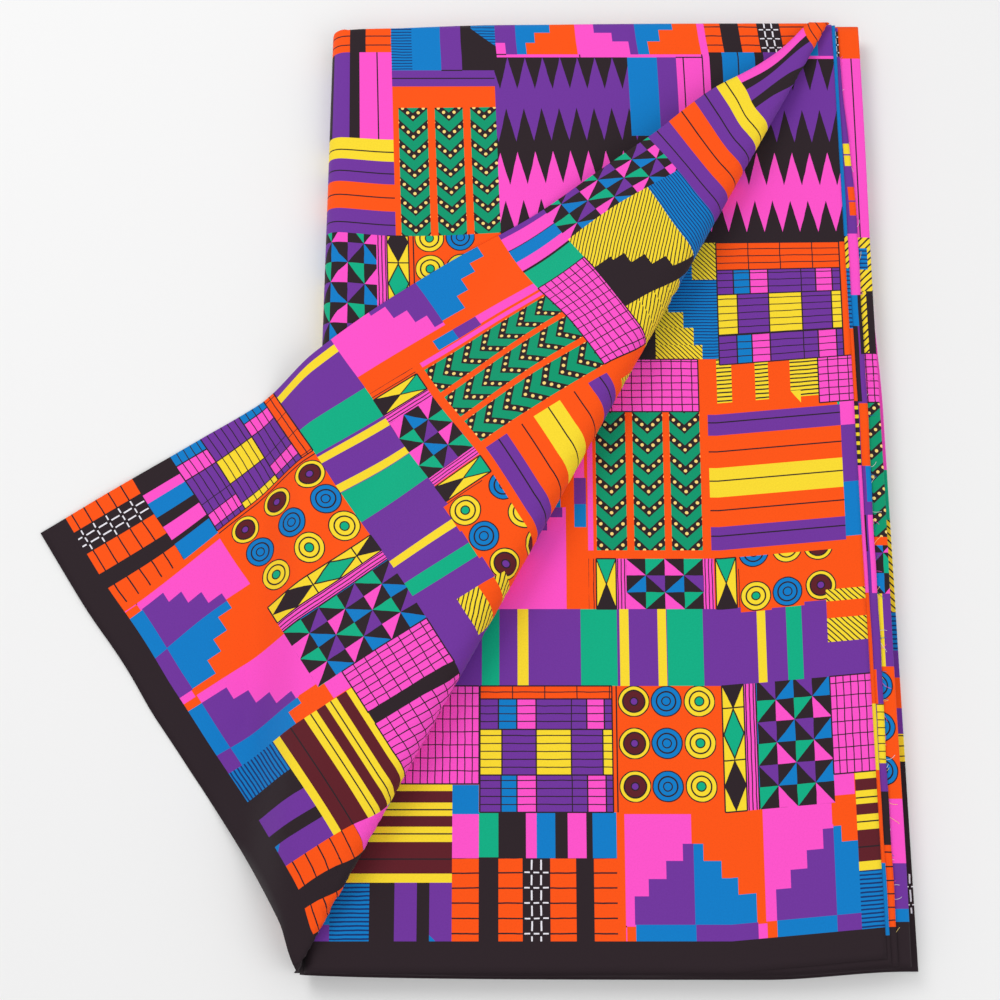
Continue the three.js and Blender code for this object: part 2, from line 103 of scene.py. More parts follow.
printChart = readChart([
    ("joined orange", (-10, 590, 16.5, 312.5)),
    ("black", (-10, 17, 16.5, 312.5)),
    # the front row: hatch, bars, ladders and two pairs of steps
    ("lines blue navy 2.35 0.4 0", (17, 49, 16.5, 38.5)),
    ("black", (17, 49, 38.5, 52.5, 65, 72), (17, 63, 99.5, 110.5, 154, 164)),
    ("purple", (17, 49, 52.5, 65, 72, 84.5)),
    ("halves blue purple 1", (17, 20.5, 72, 75.5)),
    ("lines orange black 8.3 0.1 0", (17, 62.5, 84.5, 99.5, 110.5, 124, 139.5, 154, 164, 177)),
    ("dashes black white 4.1 8.36", (17, 62.5, 124, 139.5)),
    ("pink", (62.5, 87, 84.5, 99.5), (62.5, 88, 126, 132, 149.5, 160)),
    ("blue", (87, 103.5, 84.5, 99.5), (62.5, 88, 132, 142.5, 163.5, 177)),
    ("green", (63, 88, 99.5, 110.5)),
    ("black", (62.5, 88, 110.5, 126, 142.5, 149.5, 160, 163.5)),
    # striped block
    ("yellow", (49, 54, 16.5, 84.5), (71.5, 76, 16.5, 84.5), (76, 80, 16.5, 84.5), (86, 89.5, 16.5, 84.5),
        (89.5, 93.5, 16.5, 84.5), (100, 104, 16.5, 84.5)),
    ("maroon", (54, 62, 16.5, 84.5), (62, 71.5, 16.5, 84.5), (80, 86, 16.5, 84.5), (93.5, 100, 16.5, 84.5)),
    # first steps
    ("pink", (25, 87, 181.5, 219), (17, 25, 178, 182)),
    ("joined orange", (17, 62.5, 177, 181.5), (17, 25, 182, 186.5), (25, 88, 219, 259.5)),
    ("joined purple", (26, 41.5, 186.5, 194.5), (26, 51, 194.5, 204.5), (26, 61, 204.5, 214), (26, 70.5, 214, 220)),
    ("joined blue", (26, 70.5, 220, 225.5), (26, 61, 225.5, 235.5), (26, 51.5, 235.5, 244.5), (26, 42, 244.5, 254.5)),
    ("blue", (17, 26, 187, 220.5)),
    ("purple", (17, 26, 220.5, 255)),
    # second steps
    ("pink", (26, 88, 259.5, 299), (17, 25, 255, 260)),
    ("joined orange", (17, 26, 260, 265.5), (26, 92, 299, 312.5)),
    ("joined purple", (26, 43, 265.5, 274), (26, 53, 274, 283.5), (26, 63, 283.5, 293), (26, 74, 293, 299)),
    ("joined blue", (26, 75, 299, 303.5), (26, 66, 303.5, 312.5)),
    ("blue", (17, 26, 265.5, 299)),
    ("purple", (17, 26, 299, 312.5)),
    ("joined orange", (63, 88, 177, 181.5), (76, 92, 298.5, 312.5)),
    ("pink", (92, 104, 300, 312)),
    # pink grids and the grid check
    ("grid pink black 4.2 7.4", (104, 160, 300, 330, 337, 395.5)),
    ("black", (104, 160, 330, 337)),
    ("grid purple black 20.2 4.5", (135, 152.5, 100, 110.5, 132, 161, 171, 175.5), (109, 135, 112.5, 132, 152, 170),
        (88, 109, 100, 112, 132, 161, 171.5, 175.5)),
    ("grid blue black 20.2 4.5", (135, 152.5, 110.5, 121), (88, 109, 112, 121)),
    ("grid pink black 20.2 4.5", (135, 152.5, 121, 132, 161, 171), (88, 109, 121, 132, 161, 171.5)),
    ("grid yellow black 20.2 4.5", (109, 135, 100, 112.5, 132, 152, 170, 175.5)),
    ("grid orange black 18.5 4", (152.5, 160, 100, 175.5)),
    ("orange", (88, 160, 175.5, 178, 178, 181)),
    # circles
    ("joined orange", (88, 160, 181, 238.5)),
    ("rings orange yellow maroon purple 8.8 6.3 2.2", (93.5, 111.5, 179, 197), (118, 136, 179, 197),
        (142.2, 160, 179, 197)),
    ("rings orange blue blue blue 8.6 5.5 2.5", (93.5, 111.5, 197.5, 215.5), (118, 136, 197.5, 215.5),
        (142.2, 160, 197.5, 215.5)),
    ("rings orange yellow yellow green 8.8 5.8 2.6", (93.5, 111.5, 216.5, 234.5), (118, 136, 216.5, 234.5),
        (142.2, 160, 216.5, 234.5)),
    ("pinwheel pink green blue purple 10.6 12.3", (88, 160, 247.9, 301)),
    ("hourglass yellow black yellow", (133, 161, 238.5, 251)),
    ("diamond yellow black", (88, 117, 238.5, 251)),
    ("diamond yellow green", (117, 147, 238.5, 251)),
    ("lines pink black 2.2 0.3 1.571", (88, 160, 251, 257.5)),
    ("black", (88, 160, 257.5, 258.2)),
    # purple band with upright bars
    ("joined purple", (160, 205, 16.5, 312.5)),
    ("green", (160, 205, 101, 111, 158, 179, 208, 228.7, 277, 286)),
    ("yellow", (160, 205, 121.5, 128, 180.7, 185.8, 202.5, 207.5, 260, 265)),
    ("lines yellow black 2.4 0.3 0.79", (180, 194, 300.7, 324)),
    ("orange", (194, 204, 300.7, 324)),
    # lower check row
    ("pink", (205, 266, 16.5, 150)),
    ("joined orange", (205, 235, 150, 167.5), (205, 240, 235, 312.5), (212, 245, 311, 325)),
    ("lines orange black 3 0.16 1.571", (205, 235, 158.5, 167.5, 249, 253)),
    ("hourglass yellow green black", (205, 235, 167.5, 179, 237, 249)),
    ("lines pink black 2 0.3 1.571", (205, 235, 179, 185, 230, 236)),
    ("pinwheel pink green blue purple 11.2 10", (205, 235, 185, 230)),
    ("rings orange yellow yellow green 8.6 5.6 2.4", (202, 220, 251, 269), (229, 247, 269, 289)),
    ("rings orange blue blue blue 8.4 5.5 2.5", (203, 221, 269, 288), (228, 246, 250, 269)),
    ("rings orange yellow maroon purple 8.6 6.2 2.2", (205, 223, 288.5, 307.5), (229, 247, 288, 307)),
    # third steps
    ("joined purple", (233, 266, 60, 120), (243, 266, 120, 129.5), (252, 266, 129.5, 139), (260, 266, 139, 148)),
    ("joined orange", (205, 330, 150, 163), (266, 330, 110, 163)),
    ("joined blue", (266, 282, 60, 147), (282, 290, 60, 138), (290, 300, 60, 130), (300, 310, 60, 124)),
    ("blue", (254, 268, 155, 162)),
    ("purple", (268, 284, 155, 162)),
    ("pink", (284, 325, 155, 161), (240, 325, 163, 166)),
    ("green", (235, 325, 16.5, 60)),
    ("joined orange", (211, 242, 311, 325)),
    ("lines yellow black 2.4 0.3 0.79", (204, 211, 300.7, 324)),
    # arrow columns
    ("joined orange", (235, 240, 150, 311), (240, 325, 166, 235)),
    ("arrows black leaf cream 12.8", (240, 325, 168, 186, 190, 208, 212, 230)),
    # long stripes
    ("purple", (240, 248.5, 235, 314), (248.5, 254, 235, 314), (310, 318, 235, 314), (318, 323, 235, 314)),
    ("orange", (254, 264, 235, 314), (264, 272, 235, 314), (290, 300, 235, 314), (300, 310, 235, 314)),
    ("yellow", (272, 282, 235, 314), (282, 290, 235, 314)),
    ("blue", (242, 275, 314, 324)),
    ("purple", (275, 310, 314, 324)),
    ("pink", (310, 330, 314, 324)),
    # small cells and the stair of hatches
    ("pinwheel pink green blue purple 8.4 13.1", (355.2, 440, 103.7, 143)),
    ("lines yellow black 2.1 0.3 0.79", (353, 415, 143, 233)),
    ("lines blue navy 1.95 0.34 0", (415, 440, 143, 243), (353, 415, 205, 243)),
    ("joined black", (358, 370, 171, 205), (370, 378, 174, 205), (378, 388, 182, 205), (388, 398, 190, 205),
        (398, 415, 197, 205)),
    ("lines yellow black 2.1 0.3 0.79", (353, 367, 205, 233), (367, 378, 205, 228), (378, 388, 205, 222),
        (388, 398, 205, 213), (409, 433, 228, 243)),
    # narrow row
    ("purple", (325, 358, 16.5, 120)),
    ("pink", (325, 358, 120, 128.5, 136.5, 143.5)),
    ("blue", (325, 358, 128.5, 136.5)),
    ("black", (325, 358, 127.8, 128.5, 143.5, 145)),
    ("green", (325, 358, 145, 160)),
    ("grid pink black 6 4.5", (325, 358, 160, 230, 302, 322)),
    ("joined orange", (325, 358, 230, 302)),
    ("lines yellow black 2.6 0.34 0", (330, 358, 241, 250, 264, 272, 285, 302)),
    ("halves orange yellow 1", (326, 334, 285, 291)),
    # upper grid check
    ("grid purple black 20.2 4.6", (399, 415, 243, 253, 274, 303, 313, 318), (373, 399, 255, 274, 294, 312),
        (354, 373, 243, 254, 274, 303, 314, 318)),
    ("grid blue black 20.2 4.6", (399, 415, 253, 263), (354, 373, 254, 263)),
    ("grid pink black 20.2 4.6", (399, 415, 263, 274, 303, 313), (354, 373, 263, 274, 303, 314)),
    ("grid yellow black 20.2 4.6", (373, 399, 243, 255, 274, 294, 312, 318)),
    ("grid orange black 19.5 4.6", (415, 433, 243, 318)),
    ("joined orange", (354, 433, 318, 322)),
    # upper circles and diamonds
    ("orange", (358, 440, 40, 83.5, 83.5, 86.5)),
    ("rings orange yellow yellow green 8.8 5.8 2.6", (429.5, 447.5, 64.6, 82.6),
        (409.5, 427.5, 64.6, 82.6, 45.8, 63.8)),
    ("rings orange blue blue blue 8.6 5.5 2.5", (429.5, 447.5, 45.8, 63.8)),
    ("diamond yellow black", (422.5, 449.5, 86.5, 99.5)),
    ("diamond yellow green", (395.5, 422.5, 86.5, 99.5)),
    ("yellow", (358, 395.5, 86.5, 99.5)),
    ("lines pink black 2 0.3 1.571", (358, 440, 99.5, 105.5)),
    # upper stripes and arrows
    ("purple", (440, 447, 94, 200), (447, 456, 94, 200), (474, 481, 94, 200), (481, 489, 94, 200)),
    ("orange", (456, 465, 94, 200), (465, 474, 94, 200)),
    ("joined orange", (440, 548, 24, 94)),
    ("yellow", (489, 495, 94, 200), (495, 503, 94, 200)),
    ("arrows black leaf cream 12.2 0.477", (440, 523, 72.5, 90.5, 50.5, 68, 28.5, 46)),
    ("purple", (537, 542.5, 27, 94), (542.5, 548, 27, 94)),
    # zigzags
    ("pink", (440, 470, 200, 312.5), (433, 470, 225, 326)),
    ("joined orange", (440, 503, 200, 225)),
    ("teeth black pink 10.9 0.08", (440, 461, 225, 326)),
    ("black", (433, 440, 225, 326)),
    ("pink", (461, 471, 225, 326)),
    ("teeth pink black 10.9 0.87", (471, 493, 225, 326)),
    ("black", (493, 500, 225, 326)),
    ("teeth black purple 10.9 0.2", (500, 522, 225, 326)),
    ("purple", (522, 535, 225, 326)),
    ("teeth purple black 10.9 0.17", (535, 557, 225, 326)),
    # upright stripes
    ("pink", (503, 560.5, 94, 103, 103, 114), (503, 590, 191, 195.5), (503, 557, 195.5, 207.5, 207.5, 212)),
    ("black", (503, 560.5, 114, 120, 131, 138, 157, 162.5, 183, 191)),
    ("purple", (503, 560.5, 120, 131, 138, 157), (503, 557, 212, 224)),
    ("blue", (503, 560.5, 162.5, 173, 173, 183), (503, 557, 224, 242.5)),
    # far row
    ("joined orange", (560.5, 590, 94, 191), (557, 590, 195.5, 312.5)),
    ("pink", (557, 559, 195.5, 300, -24, 28)),
    ("joined pink", (559, 568, 240, 273), (568, 574, 250, 273), (574, 590, 261, 273)),
    ("lines orange black 6.3 0.12 0", (562.3, 590, 94, 110, 120, 133, 133, 144, 158, 169.5, 180.5, 191)),
    ("black", (560.5, 590, 110, 120, 169.5, 180.5), (548, 590, 28, 50)),
    ("dashes black white 4.1 6.3", (560.5, 590, 144, 158)),
    ("lines blue navy 1.95 0.34 0", (548, 590, 81, 94)),
    ("blue", (548, 590, 63, 81)),
    ("joined blue", (559, 590, 228, 235), (568, 590, 220, 235), (576, 590, 211, 235)),
    ("joined blue", (559, 590, 9, 15), (567, 590, 3, 15), (574, 590, -7, 15)),
    ("purple", (548, 590, 50, 63), (559, 590, 15, 28)),
    ("joined purple", (559, 568, 235, 240), (568, 574, 235, 250), (574, 590, 235, 261)),
    ("halves black blue navy 1.95 1", (564.5, 577, 28, 43.3)),
    ("lines blue navy 1.95 0.34 0", (577, 590, 28, 43.3)),
])
# the top cloth is another stretch of the print: its teeth and far row are cut a little differently
turnedChart = readChart([
    ("teeth black purple 10.9 0.936", (500, 522, 242.5, 326)),
    ("teeth purple black 10.9 0.126", (535, 557, 242.5, 326)),
    ("pink", (559, 567, 22, 28)),
    ("joined purple", (567, 590, 22, 28)),
    # boxes four repeats away reach only the far end of the turned corner
    ("joined orange", (560.5, 562.3, -1074, -1062)),
    ("lines orange black 6.3 0.12 0", (562.3, 590, -1074, -1062)),
])


def boundaries(chart, axis, low, high, sign=1.0, start=0.0):
    # every box edge of a chart that falls between low and high on a ruler that reads sign * print + start
    found = set()
    for motif, names, sizes, boxes in chart:
        for box in boxes:
            for edge in (box[2:] if axis else box[:2]):
                for turn in (range(1) if axis else range(-3, 4)):
                    place = sign * (edge + turn * printRepeat) + start
                    if low < place < high:
                        found.add(round(place, 2))
    return sorted(found)


def gridLines(low, high, step, edges, fineFrom=None, fineTo=None, fineStep=None):
    # even lines a step apart, plus a line at each edge of the chart; an even line too near one is left out
    even = np.linspace(low, high, max(1, int(round((high - low) / step))) + 1)
    if fineFrom is not None:
        even = np.concatenate([even[(even < fineFrom) | (even > fineTo)], np.arange(fineFrom, fineTo, fineStep)])
    own = np.array(sorted(edge for edge in edges if low + 0.3 < edge < high - 0.3))
    if len(own):
        own = own[np.concatenate([[True], np.diff(own) > 0.4])]
        near = np.abs(even[:, None] - own[None, :]).min(axis=1) < 0.4 * step
        even = even[~near]
    return np.unique(np.concatenate([even, own, [low, high]]))


def linear(colour):
    # display colour to linear light
    c = np.array(colour)
    return np.where(c <= 0.04045, c / 12.92, ((c + 0.055) / 1.055) ** 2.4)


def chartedFaces(place, chart):
    # each face takes the last box of the chart that holds its middle
    box, kind, ink, number = np.zeros(len(place), int), np.zeros(len(place), int), np.zeros(len(place), int), 0
    corner, size, sizes = np.zeros((len(place), 3)), np.ones((len(place), 3)), np.zeros((len(place), 3))
    colours = np.ones((4, len(place), 4))
    for motif, names, numbers, boxes in chart:
        mixed = [linear(inks[name]) for name in names]
        mixed += [mixed[-1]] * (4 - len(mixed))
        number += 1
        for left, right, bottom, top in boxes:
            number += motif != "joined"
            for turn in range(-3, 4):
                start = left + turn * printRepeat
                inside = ((place[:, 0] > start) & (place[:, 0] < right + turn * printRepeat)
                          & (place[:, 1] > bottom) & (place[:, 1] < top))
                if inside.any():
                    box[inside] = number + 10000 * (turn + 3)
                    kind[inside] = motifs.index(motif)
                    ink[inside] = list(inks).index(names[0])
                    corner[inside] = (start, bottom, 0)
                    size[inside] = (right - left, top - bottom, motifs.index(motif))
                    sizes[inside] = (numbers + [0, 0, 0])[:3]
                    for k in range(4):
                        colours[k, inside, :3] = mixed[k]
    return box, kind, ink, corner, size, sizes, colours


def storeFaces(mesh, corner, size, sizes, colours, lineLow, lineHigh):
    # what the material reads on each face: its cell's corner and size, the motif's sizes, the inks and the outlines
    for name, values in (("cellCorner", corner), ("cellSize", size), ("motifSizes", sizes),
                         ("outlineLow", lineLow), ("outlineHigh", lineHigh)):
        mesh.attributes.new(name, "FLOAT_VECTOR", "FACE").data.foreach_set("vector", values.ravel())
    for name, values in zip(("inkA", "inkB", "inkC", "inkD"), colours):
        mesh.attributes.new(name, "FLOAT_COLOR", "FACE").data.foreach_set("color", values.ravel())


def paintPrint(mesh, chart, grid, rimPlace):
    # a dark outline runs between two boxes of one plain ink, and round the boxes of a lined motif
    corners = np.stack([grid[:-1, :-1], grid[:-1, 1:], grid[1:, 1:], grid[1:, :-1]])
    low, high, middle = corners.min(axis=0), corners.max(axis=0), corners.mean(axis=0)
    shape = middle.shape[:2]
    count = shape[0] * shape[1]
    box, kind, ink, *charted = chartedFaces(np.concatenate([middle.reshape(-1, 2), rimPlace]), chart)
    boxes, kinds, first = (values[:count].reshape(shape) for values in (box, kind, ink))
    lined = np.isin(kinds, [motifs.index(name) for name in ("grid", "diamond", "hourglass")])

    def parted(one, other):
        samePlain = (kinds[one] == 0) & (kinds[other] == 0) & (first[one] == first[other])
        return (boxes[one] != boxes[other]) & (samePlain | lined[one] | lined[other])

    changes = [np.zeros(shape, bool) for k in range(4)]
    changes[0][:, 1:] = changes[1][:, :-1] = parted(np.s_[:, 1:], np.s_[:, :-1])
    changes[2][1:] = changes[3][:-1] = parted(np.s_[1:], np.s_[:-1])
    if grid[0, -1, 0] < grid[0, 0, 0]:
        changes[0], changes[1] = changes[1], changes[0]
    never = 1e4
    lineLow = np.stack([np.where(changes[0], low[..., 0], -never), np.where(changes[2], low[..., 1], -never),
                        np.zeros(shape)], axis=-1).reshape(-1, 3)
    lineHigh = np.stack([np.where(changes[1], high[..., 0], never), np.where(changes[3], high[..., 1], never),
                         np.zeros(shape)], axis=-1).reshape(-1, 3)
    unlined = np.full((len(rimPlace), 3), never)

    def everyFace(values, edge):
        # the upper side, the under side and the edge of the shell
        return np.concatenate([values[:count], values[:count], edge])

    corner, size, sizes, colours = charted
    storeFaces(mesh, everyFace(corner, corner[count:]), everyFace(size, size[count:]), everyFace(sizes, sizes[count:]),
               [everyFace(values, values[count:]) for values in colours], everyFace(lineLow, -unlined),
               everyFace(lineHigh, unlined))


def addPiece(name, mesh):
    # the object stays at the origin, so the mesh's own numbers are its place
    piece = bpy.data.objects.new(name, mesh)
    bpy.context.collection.objects.link(piece)
    print(name, len(mesh.polygons), "faces")
    return piece


def clothMesh(name, centre, prints, chart):
    # a closed shell: the middle surface moved half the thickness along its normal to each side
    rows, columns = centre.shape[:2]
    normal = np.cross(np.gradient(centre, axis=1), np.gradient(centre, axis=0))
    normal /= np.maximum(np.linalg.norm(normal, axis=2, keepdims=True), 1e-9)
    points = np.concatenate([(centre + normal * halfCloth).reshape(-1, 3),
                             (centre - normal * halfCloth).reshape(-1, 3)]) * 0.001
    index = np.arange(rows * columns).reshape(rows, columns)
    quads = np.stack([index[:-1, :-1], index[:-1, 1:], index[1:, 1:], index[1:, :-1]], axis=-1).reshape(-1, 4)
    under = quads[:, ::-1] + rows * columns
    rim = np.concatenate([index[0, :], index[1:, -1], index[-1, -2::-1], index[-2:0:-1, 0]])
    nextRim = np.roll(rim, -1)
    sides = np.stack([nextRim, rim, rim + rows * columns, nextRim + rows * columns], axis=-1)
    faces = np.concatenate([quads, under, sides])
    mesh = bpy.data.meshes.new(name)
    mesh.vertices.add(len(points))
    mesh.vertices.foreach_set("co", points.ravel())
    mesh.loops.add(faces.size)
    mesh.loops.foreach_set("vertex_index", faces.ravel())
    mesh.polygons.add(len(faces))
    mesh.polygons.foreach_set("loop_start", np.arange(0, faces.size, 4))
    mesh.polygons.foreach_set("use_smooth", np.ones(len(faces), bool))
    mesh.update()
    both = np.concatenate([prints.reshape(-1, 2), prints.reshape(-1, 2)])
    mesh.uv_layers.new(name="print").data.foreach_set("uv", both[faces.ravel()].ravel())
    paintPrint(mesh, chart, prints, both[sides].mean(axis=1))
    mesh.materials.append(waxPrintCotton)
    return addPiece(name, mesh)


def tubeMesh(name, tubes):
    # tubes of rings of points: each ring is joined to the next, and the first and last are closed with a flat face
    index = np.arange(tubes[..., 0].size).reshape(tubes.shape[:3])
    following = np.roll(index, -1, axis=2)
    quads = np.stack([index[:, :-1], following[:, :-1], following[:, 1:], index[:, 1:]], axis=-1).reshape(-1, 4)
    ends = np.concatenate([index[:, 0, ::-1], index[:, -1]])
    mesh = bpy.data.meshes.new(name)
    mesh.from_pydata((tubes.reshape(-1, 3) * 0.001).tolist(), [], quads.tolist() + ends.tolist())
    return mesh, quads, ends


# The printed cotton. One group draws the chart: it reads the face's cell, motif and inks, and gives the ink's colour.
clothFinish = {
    "speckle": 0.10,
    "weave": 0.12,
    "roughness": 0.72,
    "specular": 0.15,
    "sheen": 0.05,
    "outline": 0.4,
}


def makeChartGroup():
    tree = bpy.data.node_groups.new("charted print", "ShaderNodeTree")
    for name in ("Place", "Edge Place", "Cell Corner", "Cell Size", "Motif Sizes", "Outline Low", "Outline High"):
        tree.interface.new_socket(name, in_out="INPUT", socket_type="NodeSocketVector")
    for name in ("Ink A", "Ink B", "Ink C", "Ink D", "Line Ink"):
        tree.interface.new_socket(name, in_out="INPUT", socket_type="NodeSocketColor")
    tree.interface.new_socket("Outline Width", in_out="INPUT", socket_type="NodeSocketFloat")
    tree.interface.new_socket("Colour", in_out="OUTPUT", socket_type="NodeSocketColor")
    start, end = tree.nodes.new("NodeGroupInput"), tree.nodes.new("NodeGroupOutput")

    def calc(operation, *values):
        node = tree.nodes.new("ShaderNodeMath")
        node.operation = operation
        for socket, value in zip(node.inputs, values):
            if isinstance(value, (int, float)):
                socket.default_value = value
            else:
                tree.links.new(value, socket)
        return node.outputs[0]

    times, minus, plus, over, size, fraction, below, above, least = (partial(calc, operation) for operation in (
        "MULTIPLY", "SUBTRACT", "ADD", "DIVIDE", "ABSOLUTE", "FRACT", "LESS_THAN", "GREATER_THAN", "MINIMUM"))

    def parts(name):
        node = tree.nodes.new("ShaderNodeSeparateXYZ")
        tree.links.new(start.outputs[name], node.inputs[0])
        return list(node.outputs)

    def away(value, middle=0.5):
        # distance of a value's fraction from the middle of its step
        return size(minus(fraction(value), middle))

    placeX, placeY = parts("Place")[:2]
    left, low = parts("Cell Corner")[:2]
    width, height, motif = parts("Cell Size")
    sizeA, sizeB, sizeC = parts("Motif Sizes")
    fromLeft = minus(placeX, left)
    fromLow = minus(placeY, low)
    shareX, shareY = over(fromLeft, width), over(fromLow, height)
    offX = size(minus(fromLeft, times(width, 0.5)))
    offY = minus(fromLow, times(height, 0.5))
    halfShareX = over(offX, times(width, 0.5))
    halfShareY = over(size(offY), times(height, 0.5))
    isUpper = above(offY, 0.0)
    isLower = minus(1.0, isUpper)

    def near(value, target, halfWidth=0.3):
        return below(size(minus(value, target)), halfWidth)

    def either(*masks):
        return reduce(partial(calc, "MAXIMUM"), masks)

    def both(*masks):
        return reduce(times, masks)

    def distance(x, y):
        return calc("SQRT", plus(times(x, x), times(y, y)))

    # lines: parallel lines a step apart at an angle
    turned = plus(times(fromLeft, calc("SINE", sizeC)), times(fromLow, calc("COSINE", sizeC)))
    lineInk = below(away(over(turned, sizeA)), times(sizeB, 0.5))
    # grid: thin lines both ways
    gridX = below(times(minus(0.5, away(over(fromLeft, sizeA))), sizeA), 0.3)
    gridY = below(times(minus(0.5, away(over(fromLow, sizeB))), sizeB), 0.3)
    gridInk = either(gridX, gridY)
    # teeth: a zigzag edge from the foot to the head of the cell
    toothEdge = times(away(plus(over(fromLeft, sizeA), sizeB)), 2.0)
    teethInk = above(shareY, toothEdge)
    # arrows: bands that drop to the middle of the column, with dots in the dark between
    band = plus(over(minus(fromLow, times(offX, 0.93)), sizeA), sizeB)
    arrowInk = below(fraction(band), 0.56)
    nearDot = minus(offX, times(calc("ROUND", over(offX, 3.2)), 3.2))
    dotUp = minus(fromLow, times(minus(offX, nearDot), 0.93))
    dotUp = fraction(plus(over(dotUp, sizeA), sizeB))
    dotUp = times(minus(dotUp, 0.78), sizeA)
    dotInk = below(distance(nearDot, dotUp), 1.0)
    # rings: discs on the cell's middle
    radius = distance(offX, offY)
    ringB, ringC, ringD = below(radius, sizeA), below(radius, sizeB), below(radius, sizeC)
    ringLine = either(near(radius, sizeA, 0.35), near(radius, sizeB, 0.45), near(radius, sizeC, 0.35))
    # diamond and hourglass
    slant = plus(halfShareX, halfShareY)
    diamondInk, diamondLine = below(slant, 0.94), near(slant, 0.94, 0.07)
    wedge = minus(halfShareX, halfShareY)
    wedgeInk, wedgeLine = below(wedge, 0.0), near(wedge, 0.0, 0.06)
    # pinwheel: small cells, each half inked across a diagonal that turns from cell to cell
    cellX, cellY = over(fromLeft, sizeA), over(fromLow, sizeB)
    oddX = calc("MODULO", calc("FLOOR", cellX), 2.0)
    oddY = calc("MODULO", calc("FLOOR", cellY), 2.0)
    fracX, fracY = fraction(cellX), fraction(cellY)
    rising = above(fracX, fracY)
    falling = above(plus(fracX, fracY), 1.0)
    sameOdd = below(size(minus(oddX, oddY)), 0.5)
    turnedHalf = plus(times(sameOdd, falling), times(minus(1.0, sameOdd), rising))
    half = size(minus(turnedHalf, below(size(oddY), 0.5)))
    pinB = both(oddX, minus(1.0, oddY))
    pinC = both(minus(1.0, oddX), oddY)
    pinD = both(oddX, oddY)
    # dashes: two upright lines broken at each crossbar, and crossbars broken at the uprights
    third = over(width, 3.0)
    upright = either(near(fromLeft, third, 0.45), near(fromLeft, times(third, 2.0), 0.45))
    fromCrossbar = away(over(fromLow, sizeB))
    crossbar = below(times(fromCrossbar, sizeB), 0.4)
    dashInk = either(both(upright, above(fromCrossbar, 0.17)),
                     both(crossbar, below(away(over(fromLeft, third)), 0.3)))
    # halves: the cell cut across its diagonal, with a hatch in the second ink
    halfInk = above(shareY, size(minus(shareX, minus(1.0, sizeB))))
    hatchInk = both(halfInk, below(away(over(fromLow, sizeA)), 0.17))

    def chosen(name):
        return near(motif, float(motifs.index(name)), 0.4)

    def total(pairs):
        return reduce(plus, [times(chosen(name), mask) for name, mask in pairs])

    maskB = total([("lines", lineInk), ("grid", gridInk), ("teeth", teethInk), ("arrows", arrowInk), ("rings", ringB),
                   ("diamond", diamondInk), ("hourglass", both(wedgeInk, isUpper)), ("pinwheel", pinB),
                   ("dashes", dashInk), ("halves", halfInk)])
    maskC = total([("arrows", both(dotInk, minus(1.0, arrowInk))), ("rings", ringC),
                   ("hourglass", both(wedgeInk, isLower)), ("pinwheel", pinC), ("halves", hatchInk)])
    maskD = total([("rings", ringD), ("pinwheel", pinD)])
    edgeX, edgeY = parts("Edge Place")[:2]
    lineLeft, lineLow = parts("Outline Low")[:2]
    lineRight, lineHigh = parts("Outline High")[:2]
    edge = least(least(minus(edgeX, lineLeft), minus(lineRight, edgeX)),
                least(minus(edgeY, lineLow), minus(lineHigh, edgeY)))
    motifLine = total([("rings", ringLine), ("diamond", diamondLine), ("hourglass", wedgeLine),
                       ("pinwheel", minus(1.0, half))])
    maskLine = either(below(edge, start.outputs["Outline Width"]), motifLine)

    def colourSocket(node, name):
        return next(s for s in node.inputs if s.name == name and s.type == "RGBA")

    def mixColour(factor, first, second):
        node = tree.nodes.new("ShaderNodeMix")
        node.data_type = "RGBA"
        tree.links.new(factor, node.inputs[0])
        tree.links.new(first, colourSocket(node, "A"))
        tree.links.new(second, colourSocket(node, "B"))
        return next(s for s in node.outputs if s.type == "RGBA")

    colour = mixColour(maskB, start.outputs["Ink A"], start.outputs["Ink B"])
    colour = mixColour(maskC, colour, start.outputs["Ink C"])
    colour = mixColour(maskD, colour, start.outputs["Ink D"])
    colour = mixColour(maskLine, colour, start.outputs["Line Ink"])
    tree.links.new(colour, end.inputs["Colour"])
    return tree


